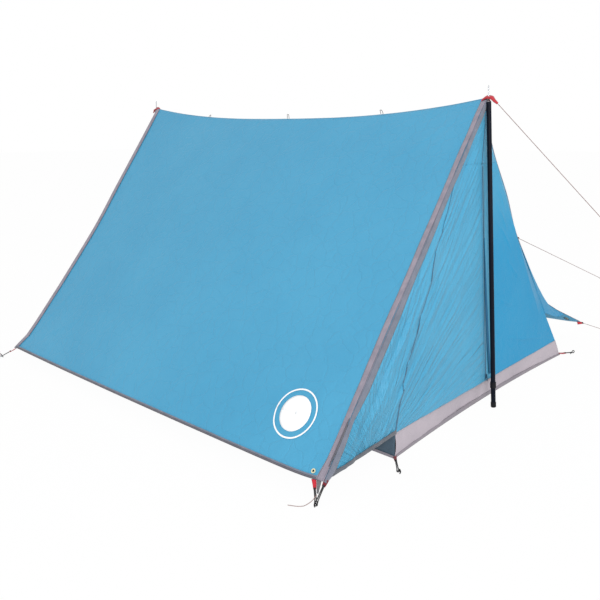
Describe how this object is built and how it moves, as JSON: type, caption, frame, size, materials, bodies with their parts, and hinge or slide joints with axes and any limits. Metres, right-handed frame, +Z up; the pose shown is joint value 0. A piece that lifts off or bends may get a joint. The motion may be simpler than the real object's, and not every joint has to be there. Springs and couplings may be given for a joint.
{
  "type": "ridge tent",
  "caption": "A-frame ridge tent with sloping fly panels, zip door, raised groundsheet tub, front and rear poles, pegs and guy lines.",
  "frame": {"origin": "on the ground, on the underside of the tub floor, straight below the middle of the ridge", "axes": "+Z up, +Y along the ridge from the door end to the rear, +X from the near side to the far side"},
  "size_m": [2.5491, 2.7888, 1.4222],
  "materials": {
    "blue_taffeta": "coated polyester taffeta, slight sheen",
    "grey_webbing": "woven edge webbing",
    "floor_cloth": "coated floor cloth",
    "tub_cloth": "coated floor cloth, light grey",
    "insect_mesh": "fine insect mesh",
    "brass_eyelet": "pressed brass",
    "red_webbing": "woven red webbing",
    "black_elastic": "braided elastic cord",
    "dark_webbing": "narrow dark tape",
    "black_steel": "black powder coat",
    "black_plastic": "moulded plastic",
    "bright_steel": "plated steel",
    "peg_steel": "dark coated wire",
    "zip_tape": "zip tape with coil",
    "zip_metal": "painted slider",
    "reflective_cord": "reflective braided cord"
  },
  "bodies": {
    "tent": {"apex_eyelets": "brass_eyelet", "bottom_hems": "grey_webbing", "corner_eyelets": "brass_eyelet", "corner_guy_line": "reflective_cord", "elastic_loops": "black_elastic", "far_front_band": "grey_webbing", "far_front_flap": "blue_taffeta", "fly_corner_tabs": "red_webbing", "fly_far_panel": "blue_taffeta", "fly_near_panel": "blue_taffeta", "front_apex_strap": "red_webbing", "front_guy_line": "reflective_cord", "front_wall_far": "blue_taffeta", "front_wall_near": "blue_taffeta", "front_wall_top": "blue_taffeta", "loose_corner_cord": "reflective_cord", "mesh_strips": "insect_mesh", "near_front_band": "grey_webbing", "near_front_flap": "blue_taffeta", "pole_tie_strap": "dark_webbing", "rear_apex_strap": "red_webbing", "rear_bands": "grey_webbing", "rear_flaps": "blue_taffeta", "rear_wall": "blue_taffeta", "ridge_loops": "dark_webbing", "side_guy_line": "reflective_cord", "side_guy_tab": "red_webbing", "tub_corner_tabs": "red_webbing", "tub_far_wall": "tub_cloth", "tub_floor": "floor_cloth", "tub_front_wall": "tub_cloth", "tub_near_wall": "tub_cloth", "tub_rear_wall": "tub_cloth"},
    "door_near": {"door_near": "blue_taffeta", "zip_tape_near": "zip_tape"},
    "door_far": {"door_far": "blue_taffeta", "zip_tape_far": "zip_tape"},
    "zip_slider": {"zip_slider": "zip_metal"},
    "zip_pull": {"zip_pull": "zip_metal"},
    "front_pole_top": {"front_pole_top": "black_steel", "front_spike": "bright_steel"},
    "front_pole_middle": {"front_pole_middle": "black_steel"},
    "front_pole_bottom": {"front_pole_bottom": "black_steel", "front_foot_cap": "black_plastic", "pole_clip": "black_plastic"},
    "rear_pole_top": {"rear_pole_top": "black_steel", "rear_spike": "bright_steel"},
    "rear_pole_middle": {"rear_pole_middle": "black_steel"},
    "rear_pole_bottom": {"rear_pole_bottom": "black_steel", "rear_foot_cap": "black_plastic"},
    "front_runner": {"front_guy_runner": "black_plastic"},
    "side_runner": {"side_guy_runner": "black_plastic"},
    "near_front_peg": {"near_front_peg": "peg_steel"},
    "near_rear_peg": {"near_rear_peg": "peg_steel"},
    "far_rear_peg": {"far_rear_peg": "peg_steel"},
    "tub_near_front_peg": {"tub_near_front_peg": "peg_steel"},
    "tub_far_front_peg": {"tub_far_front_peg": "peg_steel"},
    "tub_near_rear_peg": {"tub_near_rear_peg": "peg_steel"},
    "tub_far_rear_peg": {"tub_far_rear_peg": "peg_steel"},
    "guy_peg": {"guy_peg": "peg_steel"}
  },
  "joints": [
    {"name": "door_near_swing", "type": "hinge", "parent": "tent", "child": "door_near", "pos_m": [-0.7, -1.17457, 0.09991], "axis": [0.4843, 0.0755, 0.8717], "range_deg": [0, 80]},
    {"name": "door_far_swing", "type": "hinge", "parent": "tent", "child": "door_far", "pos_m": [0.6, -1.17457, 0.09991], "axis": [0.506, -0.0744, -0.8593], "range_deg": [0, 80]},
    {"name": "zip_slide", "type": "slide", "parent": "door_near", "child": "zip_slider", "axis": [0, 0.0863, 0.9963], "range_m": [0, 0.8]},
    {"name": "zip_pull_turn", "type": "hinge", "parent": "zip_slider", "child": "zip_pull", "pos_m": [-0.05, -1.18185, 0.12372], "axis": [-1, 0, 0], "range_deg": [0, 150]},
    {"name": "front_pole_swing", "type": "hinge", "parent": "tent", "child": "front_pole_top", "pos_m": [-0.01, -1.088, 1.247], "axis": [-1, 0, 0], "range_deg": [0, 18]},
    {"name": "front_pole_upper_pull", "type": "slide", "parent": "front_pole_top", "child": "front_pole_middle", "axis": [-0.0518, -0.1147, -0.9921], "range_m": [0, 0.05]},
    {"name": "front_pole_lower_pull", "type": "slide", "parent": "front_pole_middle", "child": "front_pole_bottom", "axis": [-0.0518, -0.1147, -0.9921], "range_m": [0, 0.05]},
    {"name": "rear_pole_swing", "type": "hinge", "parent": "tent", "child": "rear_pole_top", "pos_m": [0, 1.088, 1.247], "axis": [1, 0, 0], "range_deg": [0, 18]},
    {"name": "rear_pole_upper_pull", "type": "slide", "parent": "rear_pole_top", "child": "rear_pole_middle", "axis": [0, 0.0449, -0.999], "range_m": [0, 0.05]},
    {"name": "rear_pole_lower_pull", "type": "slide", "parent": "rear_pole_middle", "child": "rear_pole_bottom", "axis": [0, 0.0449, -0.999], "range_m": [0, 0.05]},
    {"name": "near_front_peg_pull", "type": "slide", "parent": "tent", "child": "near_front_peg", "axis": [-0.5326, -0.213, 0.8192], "range_m": [0, 0.14]},
    {"name": "near_rear_peg_pull", "type": "slide", "parent": "tent", "child": "near_rear_peg", "axis": [-0.2565, 0.513, 0.8192], "range_m": [0, 0.14]},
    {"name": "far_rear_peg_pull", "type": "slide", "parent": "tent", "child": "far_rear_peg", "axis": [0.2565, 0.513, 0.8192], "range_m": [0, 0.14]},
    {"name": "tub_near_front_peg_pull", "type": "slide", "parent": "tent", "child": "tub_near_front_peg", "axis": [-0.2565, -0.513, 0.8192], "range_m": [0, 0.14]},
    {"name": "tub_far_front_peg_pull", "type": "slide", "parent": "tent", "child": "tub_far_front_peg", "axis": [0.4918, -0.2951, 0.8192], "range_m": [0, 0.14]},
    {"name": "tub_near_rear_peg_pull", "type": "slide", "parent": "tent", "child": "tub_near_rear_peg", "axis": [-0.3289, 0.4699, 0.8192], "range_m": [0, 0.14]},
    {"name": "tub_far_rear_peg_pull", "type": "slide", "parent": "tent", "child": "tub_far_rear_peg", "axis": [0.3289, 0.4699, 0.8192], "range_m": [0, 0.14]},
    {"name": "guy_peg_pull", "type": "slide", "parent": "tent", "child": "guy_peg", "axis": [0.4317, -0.3777, 0.8192], "range_m": [0, 0.14]},
    {"name": "front_runner_slide", "type": "slide", "parent": "tent", "child": "front_runner", "axis": [0.0022, 0.7275, 0.6861], "range_m": [0, 0.15]},
    {"name": "side_runner_slide", "type": "slide", "parent": "tent", "child": "side_runner", "axis": [-0.8787, 0.284, 0.3837], "range_m": [0, 0.15]}
  ]
}
